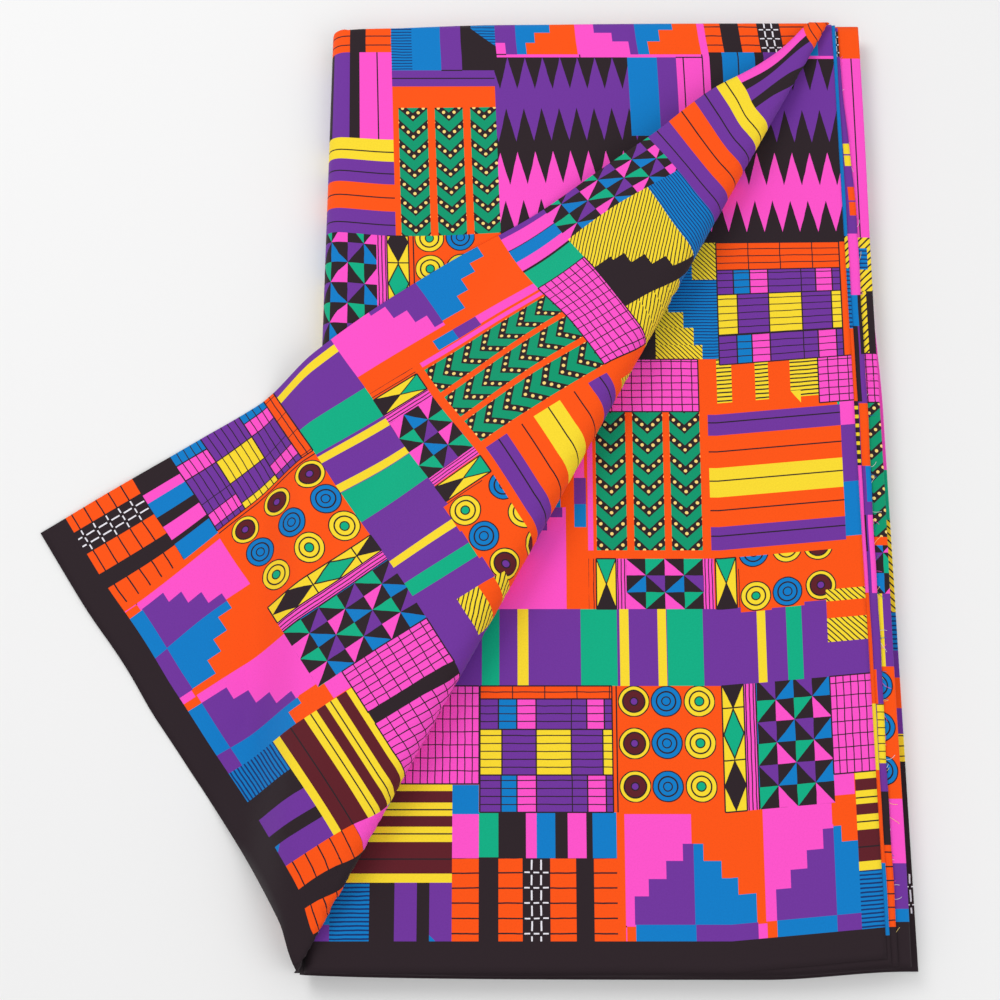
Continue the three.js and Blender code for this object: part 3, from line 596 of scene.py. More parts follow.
def makeWaxPrintCotton():
    # the charted ink at a place moved a little by noise, times 1 + speckle noise; the same noise raises the weave
    material = bpy.data.materials.new("wax_print_cotton")
    material.use_nodes = True
    tree = material.node_tree
    shader = tree.nodes["Principled BSDF"]

    def add(kind, **values):
        node = tree.nodes.new(kind)
        for name, value in values.items():
            setattr(node, name, value)
        return node

    place = add("ShaderNodeUVMap", uv_map="print")
    wobble = add("ShaderNodeTexNoise")
    wobble.inputs["Scale"].default_value = 0.09
    wobble.inputs["Detail"].default_value = 3
    tree.links.new(place.outputs["UV"], wobble.inputs["Vector"])
    centred = add("ShaderNodeVectorMath", operation="SUBTRACT")
    centred.inputs[1].default_value = (0.5, 0.5, 0.5)
    tree.links.new(wobble.outputs["Color"], centred.inputs[0])
    moved = add("ShaderNodeVectorMath", operation="MULTIPLY_ADD")
    moved.inputs[1].default_value = (0.9, 0.9, 0)
    tree.links.new(centred.outputs[0], moved.inputs[0])
    tree.links.new(place.outputs["UV"], moved.inputs[2])
    chart = add("ShaderNodeGroup")
    chart.node_tree = makeChartGroup()
    chart.inputs["Line Ink"].default_value = (*linear(inks["black"]), 1)
    chart.inputs["Outline Width"].default_value = clothFinish["outline"]
    tree.links.new(moved.outputs[0], chart.inputs["Place"])
    tree.links.new(place.outputs["UV"], chart.inputs["Edge Place"])
    for attribute, socket in (("cellCorner", "Cell Corner"), ("cellSize", "Cell Size"), ("motifSizes", "Motif Sizes"),
                              ("outlineLow", "Outline Low"), ("outlineHigh", "Outline High")):
        node = add("ShaderNodeAttribute", attribute_name=attribute)
        tree.links.new(node.outputs["Vector"], chart.inputs[socket])
    for letter in "ABCD":
        node = add("ShaderNodeAttribute", attribute_name="ink" + letter)
        tree.links.new(node.outputs["Color"], chart.inputs["Ink " + letter])
    speckle = add("ShaderNodeTexNoise")
    speckle.inputs["Scale"].default_value = 1.1
    speckle.inputs["Detail"].default_value = 2
    tree.links.new(place.outputs["UV"], speckle.inputs["Vector"])
    level = add("ShaderNodeMapRange")
    level.inputs["To Min"].default_value = 1 - clothFinish["speckle"]
    level.inputs["To Max"].default_value = 1 + clothFinish["speckle"]
    tree.links.new(speckle.outputs["Fac"], level.inputs["Value"])
    grain = add("ShaderNodeVectorMath", operation="SCALE")
    tree.links.new(chart.outputs["Colour"], grain.inputs[0])
    tree.links.new(level.outputs["Result"], grain.inputs["Scale"])
    tree.links.new(grain.outputs[0], shader.inputs["Base Color"])
    shader.inputs["Roughness"].default_value = clothFinish["roughness"]
    shader.inputs["Specular IOR Level"].default_value = clothFinish["specular"]
    shader.inputs["Sheen Weight"].default_value = clothFinish["sheen"]
    bump = add("ShaderNodeBump")
    bump.inputs["Strength"].default_value = clothFinish["weave"]
    bump.inputs["Distance"].default_value = 0.0002
    tree.links.new(speckle.outputs["Fac"], bump.inputs["Height"])
    tree.links.new(bump.outputs["Normal"], shader.inputs["Normal"])
    return material


waxPrintCotton = makeWaxPrintCotton()


def declareCloth(piece, nodes):
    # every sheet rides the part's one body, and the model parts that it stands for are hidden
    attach(piece, "root")
    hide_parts(*nodes)


# How far the edges are drawn in, and over what distance from the left turn that falls off
drawnIn = {
    "leftTurn": -90.65,
    "far": 5.6,
    "farReach": 75.0,
    "near": 2.6,
    "nearReach": 60.0,
    "nearRight": 4.5,
}


def farDraw(x, far):
    # the far side is drawn in most at the left turn, and falls off as exp(-distance / reach)
    distance = np.maximum(x - drawnIn["leftTurn"], 0)
    return drawnIn["far"] * np.exp(-distance / drawnIn["farReach"]) * ease((far - 420) / 150.0)


def nearDraw(x, far):
    # the lower layers' front edge is drawn in the same way, and at its right corner too
    distance = np.maximum(x - drawnIn["leftTurn"], 0)
    atLeft = drawnIn["near"] * np.exp(-distance / drawnIn["nearReach"])
    return (atLeft + drawnIn["nearRight"] * ease((x - 170) / 80)) * ease(1 - far / 60.0)


def lowerLayer(x, far, height):
    # the points of a lower layer, with its front and far edges drawn in
    return np.stack([x, far + pad["front"] + nearDraw(x, far) - farDraw(x, far), height], axis=-1)


# Directions of the diagonal turn: along it, and square to it towards the uncovered half
foldFar, foldNear = np.array(pad["foldFar"]), np.array(pad["foldNear"])
alongTurn = (foldNear - foldFar) / np.linalg.norm(foldNear - foldFar)
acrossTurn = np.array([-alongTurn[1], alongTurn[0]])


def turnPoint(along, out):
    # plan position of a point given by its distance along the turn and out from it
    return (foldFar[0] + alongTurn[0] * along + acrossTurn[0] * out,
            foldFar[1] + alongTurn[1] * along + acrossTurn[1] * out)


# The top cloth: round turn on the left, flat across the pad, over the diagonal roll and back
topCloth = {
    "first": -5.2,             # distance across the cloth from the left side
    "cutEdge": 319.5,
    "evenUpTo": 313.0,
    "pinchedFrom": 262.0,
    "printTurn": 137.0,        # print position = printTurn - distance across, since this face shows mirrored
    "step": 4.4,
    "fineStep": 1.6,           # near the pinched end of the roll
    "lean": 0.038,             # how far the flat part leans right for each mm towards the front
    "rowDrop": 3.3,            # the rows sag near the left side, and rise again further right
    "rowRise": 4.3,
    "flatBehindRoll": 30.0,
    "settledBehindRoll": 92.0,
    "restGap": 0.5,
    "rollAlong": [0, 30, 60, 85, 100, 180, 430, 560, 600, 640, 657],
    "rollRadii": [1.6, 3.5, 6.0, 8.0, 9.0, 12.0, 12.5, 10.5, 8.0, 3.0, 1.5],
    "rollTaken": 0.85,         # share of the half circle's length that the roll takes up
    "farRowSlope": 0.12,       # how far the far row leans left for each mm
    "tipAlong": 8.5,           # shift of the corner's hanging part, along the roll and towards it
    "tipBack": 9.5,
    "tuckedIn": 0.97,          # share of what reaches past the far edge that is taken back
}
# Soft pulls in the turned corner: along and behind the roll, their reach each way, the shift each way
cornerPulls = [
    (310, 10, 70, 60, -4.5, 0),
    (225, 62, 40, 35, 4.5, -3.5),
    (115, 50, 32, 45, 5.5, 0),
    (130, 10, 75, 70, 4.6, 0),
    (30, 30, 55, 60, 0, -10),
    (610, 30, 60, 80, -6.5, 0),
    (640, 20, 40, 50, 0, -3),
    (545, 166, 45, 40, 0, -4),
    (150, 45, 35, 40, 0, -3.5),
    (420, 115, 35, 30, 0, 3.5),
]
# Soft creases and troughs pressed into the turned corner: along, behind, reach each way, height
cornerCreases = [
    (330, 120, 26, 60, 1.2),
    (405, 150, 18, 50, -1.0),
    (450, 175, 22, 60, 1.4),
    (470, 235, 30, 20, 1.6),
    (250, 95, 20, 40, 0.8),
    (520, 170, 30, 45, 1.0),
]


def rollRadius(along):
    # straight between the radii listed along the roll
    return np.interp(along, topCloth["rollAlong"], topCloth["rollRadii"])


def flapHeight(along, behind):
    # the roll's height, eased down to the layer below, and down to the table outside the pad; each crease is a bell
    radius = rollRadius(along)
    onPad = pad["top"] + topCloth["restGap"] + halfCloth
    raised = pad["top"] - halfCloth + 2 * radius - onPad
    x, y = turnPoint(along, -(radius + halfCloth) - behind)
    lowered = ease((behind - topCloth["flatBehindRoll"]) / (topCloth["settledBehindRoll"] - topCloth["flatBehindRoll"]))
    outside = sideX(pad["left"], y) - x
    fallen = ease((outside - 3.0) / 35.0)
    height = onPad + (halfCloth - onPad) * fallen + raised * (1 - lowered)
    for middle, back, reach, reachBack, rise in cornerCreases:
        height = height + rise * np.exp(-((along - middle) / reach) ** 2 - ((behind - back) / reachBack) ** 2) * lowered
    return np.maximum(height, halfCloth)


def topClothPoints(across, far):
    # the flat cloth is carried round the left turn, across the pad and over the roll; behind the roll it lies back
    x, y = across + drawnIn["leftTurn"], far + pad["front"]
    along = (x - foldFar[0]) * alongTurn[0] + (y - foldFar[1]) * alongTurn[1]
    out = (x - foldFar[0]) * acrossTurn[0] + (y - foldFar[1]) * acrossTurn[1]
    radius = rollRadius(along)
    rollLength = topCloth["rollTaken"] * math.pi * radius
    travelled = out + radius + halfCloth
    onRoll = np.clip(travelled / rollLength, 0, 1) * math.pi
    beyond = np.maximum(travelled - rollLength, 0)
    # the flat part leans, fading out towards the roll
    settled = ease(-out / 80.0)
    flatX = x + topCloth["lean"] * np.clip(558 - far, -10, 175) * ease(across / 40.0) * settled
    sunk = topCloth["rowDrop"] * ease(across / 45.0) * (1 - ease((far - 480) / 60.0))
    flatY = y + (topCloth["rowRise"] * ease((across - 50) / 110.0) * (1 - ease((far - 470) / 80.0)) - sunk) * settled
    flatX = flatX - topCloth["farRowSlope"] * np.maximum(far - 557, 0) * ease(across / 240.0) * ease(-out / 30.0)
    turnX = sideX(pad["left"], y) + pad["top"] / 2
    turnMid = pad["top"] / 2 - halfCloth
    curl = np.clip((turnX - x) / turnMid, 0, math.pi / 2)
    curledX = np.where(x < turnX, turnX - turnMid * np.sin(curl), flatX)
    curledZ = np.where(x < turnX, pad["top"] / 2 + turnMid * np.cos(curl), pad["top"] - halfCloth)
    # the far edge turns down
    edgeY = pad["far"] - farDraw(x, clothLength)
    overEdge = np.clip((flatY - edgeY + 1.6) / 1.6, 0, 1) * (math.pi / 2)
    past = np.maximum(flatY - edgeY, 0)
    curledZ = curledZ - np.where(x < turnX, 0, 1.1 * (1 - np.cos(overEdge)) + 0.9 * past)
    flatY = flatY - topCloth["tuckedIn"] * past
    rollZ = pad["top"] - halfCloth + radius * (1 - np.cos(onRoll))
    backAlong = along + topCloth["tipAlong"] * ease((beyond - 110) / 110)
    behind = beyond - topCloth["tipBack"] * ease((beyond - 135) / 65)
    for middle, back, reach, reachBack, shift, shiftBack in cornerPulls:
        pull = np.exp(-((along - middle) / reach) ** 2 - ((beyond - back) / reachBack) ** 2)
        backAlong = backAlong + shift * pull * ease(travelled / 30.0)
        behind = behind + shiftBack * pull * ease(beyond / 25.0)
    rollX, rollY = turnPoint(backAlong, -(radius + halfCloth) + radius * np.sin(onRoll))
    behind = np.maximum(behind, 0)
    backX, backY = turnPoint(backAlong, -(radius + halfCloth) - behind)
    # nothing of the turned corner reaches past the far edge
    backY, rollY = (y - topCloth["tuckedIn"] * np.maximum(y - pad["far"] + 1.8, 0) for y in (backY, rollY))
    backZ = flapHeight(backAlong, behind)
    flat, rolled = travelled <= 0, beyond <= 0
    return np.stack([np.where(flat, curledX, np.where(rolled, rollX, backX)),
                     np.where(flat, flatY, np.where(rolled, rollY, backY)),
                     np.where(flat, curledZ, np.where(rolled, rollZ, backZ))], axis=-1)


def makeTopCloth():
    chart = printChart + turnedChart
    first, last, edge = topCloth["first"], topCloth["evenUpTo"], topCloth["cutEdge"]
    columns = gridLines(first, last, topCloth["step"], boundaries(chart, 0, first, last, -1.0, topCloth["printTurn"]),
                        topCloth["pinchedFrom"], last, topCloth["fineStep"])
    rows = gridLines(0, clothLength, topCloth["step"], boundaries(chart, 1, 0, clothLength),
                     503, clothLength, topCloth["fineStep"])
    # the last columns follow the cut edge, which isn't quite straight to the print
    lastColumns = edge + np.array([-4.5, -2.5, -0.5, 2.5, 99])
    across, far = np.meshgrid(np.concatenate([columns, lastColumns]), rows)
    cut = (edge + 5.0 * ease((far - 440) / 60) + 3.5 * ease((far - 503) / 50) - 5 * ease((far - 563) / 18)
           - 3.5 * (ease((far - 100) / 90) - ease((far - 358) / 80)))
    stepsBack = np.array([1.0, 0.75, 0.5, 0.25, 0.0])
    across[:, -5:] = np.minimum(across[:, -5:], cut[:, -5:] - stepsBack)
    prints = np.stack([topCloth["printTurn"] - across, far], axis=-1)
    piece = clothMesh("top_cloth", topClothPoints(across, far), prints, chart)
    declareCloth(piece, ["top_layer", "turned_corner"])


# The cloth that the turned corner uncovers, and the sheet under it that sticks out at its right side
revealedCloth = {
    "start": -91.05,           # where distance across is 0
    "left": -2.4,
    "inner": 318.0,
    "right": (325.5, 320.2),
    "rowRise": 0.09,           # how far the rows rise for each mm towards the right corner
    "height": 18.3,
    "step": 4.4,
}


def revealedPoints(across, far, height):
    # flat on the layers below, its far edge turned down a little; at the left a quarter turn inside the top cloth's
    x, y = across + revealedCloth["start"], far + pad["front"]
    rise = revealedCloth["rowRise"] * np.maximum(across - 240, 0) * (1 - ease((far - 330) / 130))
    overEdge = ease((y - pad["far"] + 2.2) / 2.2)
    turnX = sideX(pad["left"], y) + pad["top"] / 2
    radius = height - pad["top"] / 2
    curl = np.clip((turnX - x) / radius, 0, math.pi / 2)
    return np.stack([np.where(x < turnX, turnX - radius * np.sin(curl), x), y + rise - farDraw(x, far),
                     pad["top"] / 2 + radius * np.cos(curl) - 0.7 * overEdge * (x > turnX)], axis=-1)


def makeRevealedCloth():
    # even columns up to a straight line, then two that follow the slanting right edge
    inner, left, step = revealedCloth["inner"], revealedCloth["left"], revealedCloth["step"]
    rightFront, rightFar = revealedCloth["right"]
    columns = gridLines(left, inner, step, boundaries(printChart, 0, left, inner))
    rows = gridLines(0, clothLength, step, boundaries(printChart, 1, 0, clothLength) + [579.0, 580.0])
    across, far = np.meshgrid(np.concatenate([columns, [0.5, 1.0]]), rows)
    right = rightFront + (rightFar - rightFront) * far / clothLength
    spread = inner + across * (right - inner)
    across[:, -2:] = spread[:, -2:]
    centre = revealedPoints(across, far, revealedCloth["height"] - halfCloth)
    piece = clothMesh("revealed_cloth", centre, np.stack([across, far], axis=-1), printChart)
    declareCloth(piece, ["revealed_layer"])


# Narrow charts of what shows at the right side, read from each layer's own right edge inwards
sideCharts = {
    "under_sheet": readChart([
        ("purple", (-5, 590, -2, 95)),
        ("blue", (438, 590, -2, 95)),
        ("lines yellow black 3.1 0.3 0.79", (417, 438, -2, 95)),
        ("lines blue navy 2.7 0.34 0", (378, 417, -2, 95)),
        ("orange", (332, 378, -2, 95), (150, 215, -2, 95)),
        ("lines black yellow 5.5 0.4 0", (292, 332, -2, 95)),
        ("pink", (215, 292, -2, 95)),
        ("yellow", (112, 150, -2, 95)),
        ("orange", (60, 112, -2, 95)),
        ("blue", (17, 60, -2, 95)),
        ("black", (-5, 17, -2, 95)),
    ]),
    "cut_edge_cloth": readChart([
        ("purple", (-5, 590, -2, 95)),
        ("dashes black white 4.1 5.5", (559.5, 577, -2, 9)),
        ("yellow", (485, 492, 0.5, 4), (493, 500, 0.5, 4)),
        ("orange", (452, 461, 0.5, 4), (462, 471, 0.5, 4)),
        ("pink", (400, 440, -2, 95), (215, 262, -2, 3)),
        ("black", (362, 400, -2, 2), (332, 380, 3, 95)),
        ("blue", (380, 400, 2, 95), (270, 292, -2, 3)),
        ("orange", (292, 331, -2, 5), (150, 170, 3, 95)),
        ("lines yellow black 4.5 0.12 0", (116, 150, -2, 4)),
        ("black", (70, 100, -2, 95), (240, 262, 4, 95)),
        ("lines orange black 8 0.1 0", (22, 70, -2, 5)),
        ("black", (-5, 22, -2, 95)),
    ]),
    "lower_fold_cloth": readChart([
        ("purple", (-5, 590, -70, 70)),
        ("orange", (559, 590, -70, 70), (244, 249, -70, 70), (96, 172, -70, 70)),
        ("pink", (438, 559, -70, 4.6, 4.6, 70), (60, 96, -70, 70)),
        ("lines yellow black 3.1 0.3 0.79", (400, 438, -70, 70), (363, 403, 3, 70)),
        ("lines blue navy 2.7 0.34 0", (417, 431, 1, 7)),
        ("black", (363, 403, -70, 3), (-5, 25, -70, 70)),
        ("grid pink black 4.2 4.5", (332, 363, -70, 70)),
        ("arrows black leaf cream 13.2", (249, 332, -3.5, 14.5)),
        ("pinwheel pink blue green purple 10.6 12.3", (215, 244, -30, 40)),
        ("yellow", (172, 215, 3.5, 7.5)),
        ("rings orange blue blue blue 8.4 5.5 2.5", (152, 170, 0, 17.5), (128, 146, 0, 17.5), (103, 121, 0, 17.5)),
        ("blue", (25, 33, -70, 70)),
    ]),
    "bottom_cloth": readChart([
        ("pink", (294, 400, -2, 9)),
        ("green", (263, 294, -2, 9)),
        ("lines yellow black 3.1 0.3 0.79", (207, 263, -2, 9)),
        ("lines blue navy 2.7 0.34 0", (184, 207, -2, 9)),
        ("purple", (168, 184, -2, 9), (135, 150, -2, 9)),
        ("orange", (150, 168, -2, 9)),
        ("lines yellow black 6 0.12 0", (119, 135, -2, 9)),
        # painted shade: the last black span, far 400 to 470, stands for shadow on the bottom cloth's strip and is no
        # print
        ("black", (55, 119, -2, 9), (-5, 31, -2, 9), (400, 470, -2, 9)),
        ("pink", (470, 557, -2, 9)),
        ("orange", (557, 590, -2, 9)),
        ("dashes black white 4.1 11", (31, 55, -2, 9)),
    ]),
}


# The two sheets that show at the right side only
sideSheets = {
    "under_sheet": {
        "left": -70, "right": (236.9, 231.6), "height": 17.4, "ends": (0, 0.3), "wave": 0.15, "narrowing": 0.0},
    "cut_edge_cloth": {
        "left": -70, "right": (239.9, 238.1), "height": 16.3, "ends": (0.6, 1.5), "wave": 0.35, "narrowing": 5.5},
}


def farNarrowing(far):
    # the share by which the edge stands further in, growing smoothly over the last 150 mm
    return 0.15 - ease((far - 430) / 150)


def narrowSheet(name):
    # a flat sheet with a slightly uneven edge at the right side: x = right side + two slow waves
    sheet = sideSheets[name]
    rows = gridLines(-sheet["ends"][0], clothLength - sheet["ends"][1], 4.0, boundaries(sideCharts[name], 1, -5, 590))
    edge = np.concatenate([[0, 2, 3, 4, 5], np.linspace(8, sheet["right"][0] - sheet["left"], 40)])[::-1]
    inward, far = np.meshgrid(edge, rows)
    uneven = sheet["wave"] * (0.6 * np.sin(far / 23.0) + 0.4 * np.sin(far / 7.3 + 1.1)) * ease(1 - inward / 10)
    x = (sideX(sheet["right"], far + pad["front"]) - inward + uneven
         + sheet["narrowing"] * farNarrowing(far) * ease(1 - inward / 30))
    sag = 0.12 * np.sin(far / 41.0 + 0.7) * ease(1 - inward / 12)
    centre = lowerLayer(x, far, sheet["height"] - halfCloth + sag - 0.12)
    return clothMesh(name, centre, np.stack([inward, far], axis=-1), printChart + sideCharts[name])


def makeSideSheets():
    # both sheets reach under the pad's left side, and the lower one carries the loose threads
    declareCloth(narrowSheet("under_sheet"), ["revealed_layer"])
    cutEdge = narrowSheet("cut_edge_cloth")
    threads = makeThreads()
    declareCloth(cutEdge, ["cut_edge_layer"])


# Loose threads along the cut edge
threadLook = {
    "count": 70,
    "radius": 0.11,
    "longest": 7.0,
    "startHeight": 15.75,
    "restHeight": 14.95,       # on the fold below
    "farthestOut": 6.0,
    "points": 6,
    "sides": 5,
}


def makeThreads():
    # each thread is a thin tube swept along a curve that starts at the cut edge, turns evenly as it goes,
    # and drops to the fold below; its length is the longest one times a power of a chance share
    chance = np.random.default_rng(8)
    count, rings, sides = threadLook["count"], threadLook["points"], threadLook["sides"]
    far = np.sort(chance.uniform(12, 560, count))
    y = far + pad["front"]
    sheet = sideSheets["cut_edge_cloth"]
    startX = sideX(sheet["right"], y) - 0.6 + sheet["narrowing"] * farNarrowing(far)
    length = threadLook["longest"] * chance.uniform(0.15, 1.0, count) ** 1.6 + 1.2
    heading = chance.uniform(-1.45, 1.45, count)
    bend = chance.uniform(-0.8, 0.8, count)
    steps = np.linspace(0, 1, rings)
    angle = heading[:, None] + bend[:, None] * steps
    reach = length[:, None] * steps
    x = startX[:, None] + np.minimum(reach * np.abs(np.cos(angle)), threadLook["farthestOut"])
    fall = (threadLook["restHeight"] - threadLook["startHeight"]) * ease((x - startX[:, None] - 0.6) / 1.2)
    z = threadLook["startHeight"] + fall + 0.12 * np.sin(3 * steps)
    path = np.stack([x, y[:, None] + reach * np.sin(angle), z], axis=-1)
    around = np.linspace(0, 2 * math.pi, sides, endpoint=False)
    side = np.gradient(path, axis=1)
    side = np.stack([-side[..., 1], side[..., 0], 0 * side[..., 0]], axis=-1)
    side /= np.maximum(np.linalg.norm(side, axis=-1, keepdims=True), 1e-6)
    ring = (path[:, :, None, :] + threadLook["radius"] * (side[:, :, None, :] * np.cos(around)[None, None, :, None]
            + np.array([0, 0, 1.0]) * np.sin(around)[None, None, :, None]))
    mesh = tubeMesh("loose_threads", ring)[0]
    shades = np.array([linear(inks[name]) for name in ("cream", "white", "pink", "blue", "white", "cream", "leaf")])
    pick = chance.integers(0, len(shades), count)
    colours = np.ones((len(mesh.polygons), 4))
    colours[:, :3] = shades[np.concatenate([np.repeat(pick, (rings - 1) * sides), pick, pick])]
    mesh.attributes.new("threadInk", "FLOAT_COLOR", "FACE").data.foreach_set("color", colours.ravel())
    material = bpy.data.materials.new("thread_cotton")
    material.use_nodes = True
    shader = material.node_tree.nodes["Principled BSDF"]
    ink = material.node_tree.nodes.new("ShaderNodeAttribute")
    ink.attribute_name = "threadInk"
    material.node_tree.links.new(ink.outputs["Color"], shader.inputs["Base Color"])
    shader.inputs["Roughness"].default_value = 0.7
    mesh.materials.append(material)
    piece = addPiece("loose_threads", mesh)
    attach(piece, "root")
    return piece


# The doubled layer whose fold shows along the right side
lowerFold = {"width": 312.0, "right": (248.9, 246.9), "top": 14.7, "bottom": 11.7, "ends": (1.2, -0.2)}


def makeLowerFold():
    # the profile runs right along the top sheet, round a half circle and back along the lower sheet
    radius = (lowerFold["top"] - lowerFold["bottom"]) / 2 - halfCloth
    rows = gridLines(-lowerFold["ends"][0], clothLength - lowerFold["ends"][1], 4.2,
                     boundaries(sideCharts["lower_fold_cloth"], 1, -5, 590))
    inwardTop = np.concatenate([np.linspace(lowerFold["width"], 10, 32), [9, 7.5, 7, 6, 4.6, 3.5, 3, 2, 1, 0]])
    turn = np.linspace(0, math.pi, 9)[1:-1]
    inwardBack = inwardTop[::-1]
    profile = np.concatenate([
        np.stack([-radius - inwardTop, np.full(len(inwardTop), radius), inwardTop], axis=-1),
        np.stack([-radius + radius * np.sin(turn), radius * np.cos(turn), -radius * turn], axis=-1),
        np.stack([-radius - inwardBack, np.full(len(inwardBack), -radius), -math.pi * radius - inwardBack], axis=-1)])
    rest, far = np.meshgrid(np.arange(len(profile)), rows)
    edge = sideX(lowerFold["right"], far + pad["front"]) - halfCloth + 0.25 * np.sin(far / 37.0)
    middle = (lowerFold["top"] + lowerFold["bottom"]) / 2
    centre = lowerLayer(edge + profile[rest, 0], far, middle + profile[rest, 1])
    piece = clothMesh("lower_fold_cloth", centre, np.stack([profile[rest, 2], far], axis=-1),
                      printChart + sideCharts["lower_fold_cloth"])
    declareCloth(piece, ["lower_fold"])


# The lowest layer, and the lower half of the round turn at the left
bottomCloth = {
    "right": (255.1, 250.2),
    "farRightDrawn": 2.5,
    "flatWidth": 336.5,
    "printStart": 142.2,
    "ends": (3.4, 0.4),
    "step": 5.0,
}


def makeBottomCloth():
    # from halfway up the round turn, down and under, then flat on the table to its right edge
    turnMid = pad["top"] / 2 - halfCloth
    turnLength = turnMid * math.pi / 2
    length = turnLength + bottomCloth["flatWidth"]
    start = bottomCloth["printStart"]
    # the side chart reads from the right edge inwards, so it is turned round here
    chart = printChart + [
        (motif, names, sizes, [(start + length - right, start + length - left, low, high)
                               for left, right, low, high in boxes])
        for motif, names, sizes, boxes in sideCharts["bottom_cloth"]]
    columns = gridLines(0, length, bottomCloth["step"], [3, 6, 9, 12] + boundaries(chart, 0, 0, length, 1.0, -start))
    rows = gridLines(-bottomCloth["ends"][0], clothLength - bottomCloth["ends"][1], bottomCloth["step"],
                     boundaries(chart, 1, -3, clothLength))
    along, far = np.meshgrid(columns, rows)
    y = far + pad["front"]
    turnX = sideX(pad["left"], y) + pad["top"] / 2
    angle = np.clip(along / turnMid, 0, math.pi / 2)
    flat = np.maximum(along - turnLength, 0)
    rightX = sideX(bottomCloth["right"], y) - bottomCloth["farRightDrawn"] * ease((far - 330) / 80.0)
    x = turnX - turnMid * np.cos(angle) + flat * (rightX - turnX) / (length - turnLength)
    centre = lowerLayer(x, far, halfCloth + turnMid * (1 - np.sin(angle)))
    piece = clothMesh("bottom_cloth", centre, np.stack([start + along, far], axis=-1), chart)
    declareCloth(piece, ["bottom_layer"])


# The hidden layers: folds on folds, each edge set in by its own amount
innerFolds = {
    "bottom": 1.8,
    "top": 11.4,
    "right": 245.0,
    "front": -291.0,
    "far": 291.2,
    "insets": [1.2, 0.2, 2.3, 0.9, 3.1, 0.4, 1.8, 2.6, 0.7, 1.5, 0.1, 2.0],
    "prints": [20, 240, 120, 178, 60, 265, 205, 30, 150, 90, 300, 215],
    "cornerRadius": 4.0,
    "alongSide": 72,
}


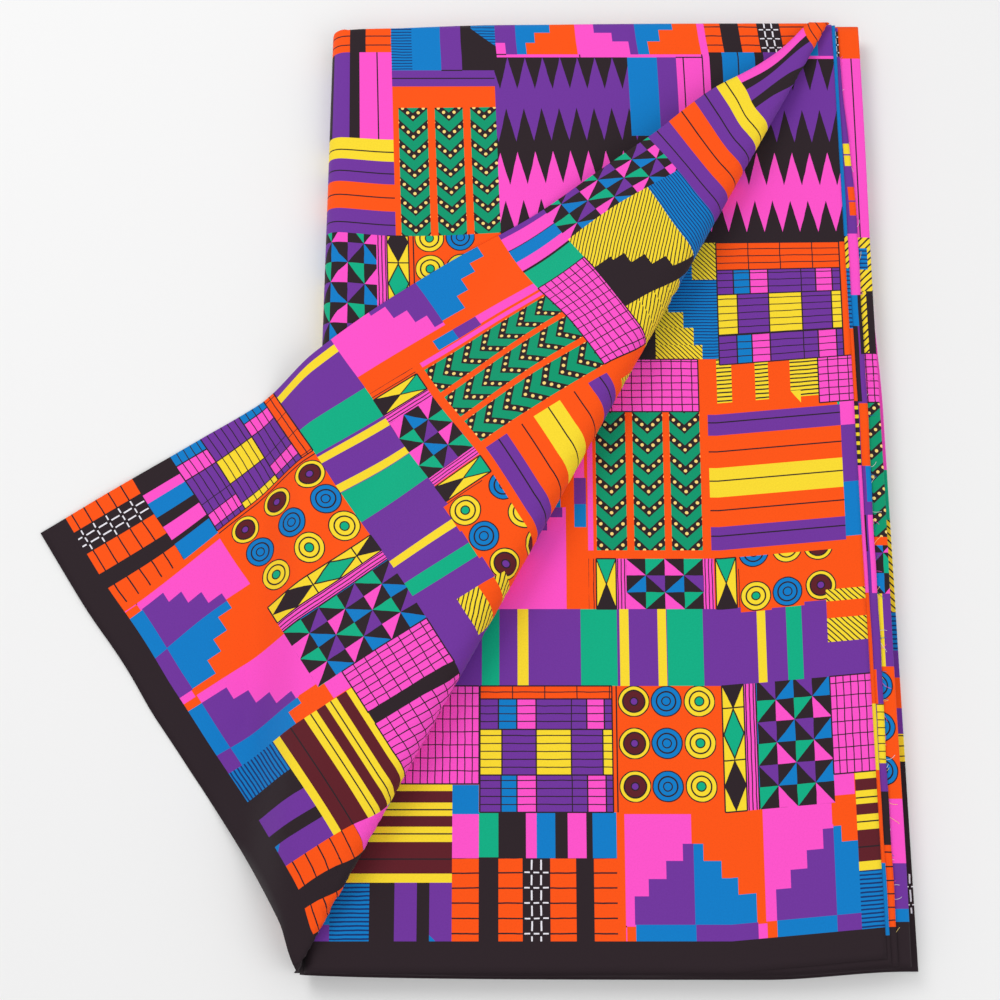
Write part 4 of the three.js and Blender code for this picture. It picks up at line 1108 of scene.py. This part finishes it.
def makeInnerFolds():
    # rings of a round-cornered outline; going up, each folded layer swells out and in again as half an ellipse
    insets = np.array(innerFolds["insets"])
    layers = len(insets)
    thick = (innerFolds["top"] - innerFolds["bottom"]) / layers
    level = np.linspace(-1, 1, 6)
    layer = np.repeat(np.arange(layers), len(level))
    swell = np.tile(level, layers)
    height = innerFolds["bottom"] + thick * (layer + (swell + 1) / 2)
    inset = insets[layer] + 0.9 * thick * (1 - np.sqrt(1 - swell ** 2))
    # the outline: right side, far side, left side and front side, each between two quarter circles
    middleZ = pad["top"] / 2
    reach = np.sqrt(np.maximum((middleZ - 2.6) ** 2 - (height - middleZ) ** 2, 0))
    radius = innerFolds["cornerRadius"]
    quarter = np.linspace(0, math.pi / 2, 7)
    share = np.linspace(0, 1, innerFolds["alongSide"] + 1)[1:-1]
    rightX = innerFolds["right"] - inset
    farY, nearY = innerFolds["far"] - 0.5 * inset, innerFolds["front"] + 0.5 * inset
    leftFront, leftFar = (side + middleZ - reach + 0.3 * inset for side in pad["left"])
    centres = [(rightX - radius, farY - radius), (leftFar + radius, farY - radius),
               (leftFront + radius, nearY + radius), (rightX - radius, nearY + radius)]
    pieces = []
    for n in range(4):
        angle = quarter + n * math.pi / 2
        x, y = centres[n]
        pieces.append(np.stack([x[:, None] + radius * np.cos(angle), y[:, None] + radius * np.sin(angle)], axis=-1))
        nextX, nextY = centres[(n + 1) % 4]
        out = np.array([math.cos(angle[-1]), math.sin(angle[-1])])
        start = pieces[-1][:, -1:, :]
        stop = np.stack([nextX, nextY], axis=-1)[:, None, :] + radius * out
        wave = 0.35 * np.sin(math.pi * share) * np.sin(17 * share + 1.9 * layer[:, None] + n)
        pieces.append(start + (stop - start) * share[None, :, None] + wave[..., None] * out)
    outline = np.concatenate(pieces, axis=1)
    outline[..., 1] += nearDraw(outline[..., 0], outline[..., 1] - pad["front"])
    outline[..., 1] -= farDraw(outline[..., 0], outline[..., 1] - pad["front"])
    rings = np.concatenate([outline, np.repeat(height[:, None, None], outline.shape[1], axis=1)], axis=2)
    # the print's place on each edge: front and far edges read along x, the sides along y
    start = np.array(innerFolds["prints"])[layer][:, None]
    alongFront = rings[..., 1] < innerFolds["front"] + 9
    alongFar = rings[..., 1] > innerFolds["far"] - 9
    prints = np.stack([np.where(alongFront | alongFar, rings[..., 0] + 90 + start, start + 3),
                       np.where(alongFront, 8.0, np.where(alongFar, 575.0, rings[..., 1] - pad["front"]))], axis=-1)
    centre = np.array([80.0, 0.0])
    ends = rings[[0, -1]]
    ends[..., :2] = centre + (ends[..., :2] - centre) * 0.02
    rings = np.concatenate([ends[:1], rings, ends[1:]])
    prints = np.concatenate([prints[:1], prints, prints[-1:]])
    mesh, quads, ends = tubeMesh("inner_folds", rings[None])
    mesh.polygons.foreach_set("use_smooth", np.ones(len(mesh.polygons), bool))
    places = prints.reshape(-1, 2)
    loops = np.concatenate([quads.ravel(), ends.ravel()])
    mesh.uv_layers.new(name="print").data.foreach_set("uv", places[loops].ravel())
    # a face's first corner belongs to its own layer, so it tells the face's place in the print
    firstCorners = places[np.concatenate([quads[:, 0], [ends[0, -1], ends[1, 0]]])]
    unlined = np.full((len(mesh.polygons), 3), 1e4)
    storeFaces(mesh, *chartedFaces(firstCorners, printChart)[3:], -unlined, unlined)
    mesh.materials.append(waxPrintCotton)
    declareCloth(addPiece("inner_folds", mesh), ["hidden_layers"])


makeTopCloth()
makeRevealedCloth()
makeSideSheets()
makeLowerFold()
makeInnerFolds()
makeBottomCloth()

# Camera, light and floor
eye = Vector((0.02035, -0.3165, 1.1227))
target = Vector((0.02035, -0.019, 0.0201))
camera = bpy.data.objects.new("camera", bpy.data.cameras.new("camera"))
camera.data.lens = 69.98
camera.data.sensor_width = 36
camera.data.clip_start = 0.05
camera.location = eye
camera.rotation_euler = (target - eye).to_track_quat("-Z", "Y").to_euler()
bpy.context.collection.objects.link(camera)
bpy.context.scene.camera = camera
bpy.context.scene.view_settings.view_transform = "Standard"

floorMesh = bpy.data.meshes.new("floor")
floorMesh.from_pydata([(-3, -3, -0.0005), (3, -3, -0.0005), (3, 3, -0.0005), (-3, 3, -0.0005)], [], [(0, 1, 2, 3)])
floorMaterial = bpy.data.materials.new("floor")
floorMaterial.use_nodes = True
floorMaterial.node_tree.nodes["Principled BSDF"].inputs["Base Color"].default_value = (0.9, 0.9, 0.9, 1)
floorMaterial.node_tree.nodes["Principled BSDF"].inputs["Roughness"].default_value = 0.9
floorMesh.materials.append(floorMaterial)
addPiece("floor", floorMesh)

world = bpy.data.worlds.new("studio")
bpy.context.scene.world = world
world.use_nodes = True
world.node_tree.nodes["Background"].inputs["Color"].default_value = (1, 1, 1, 1)
world.node_tree.nodes["Background"].inputs["Strength"].default_value = 0.68


def softLight(name, place, size, power):
    # a round lamp turned towards the cloth
    lamp = bpy.data.lights.new(name, "AREA")
    lamp.shape = "DISK"
    lamp.size = size
    lamp.energy = power
    light = bpy.data.objects.new(name, lamp)
    light.location = place
    light.rotation_euler = (Vector((0.02, 0, 0)) - Vector(place)).to_track_quat("-Z", "Y").to_euler()
    bpy.context.collection.objects.link(light)


softLight("key", (-0.9, 0.9, 1.6), 1.0, 12)
softLight("fill", (1.2, -0.8, 1.5), 1.4, 7)
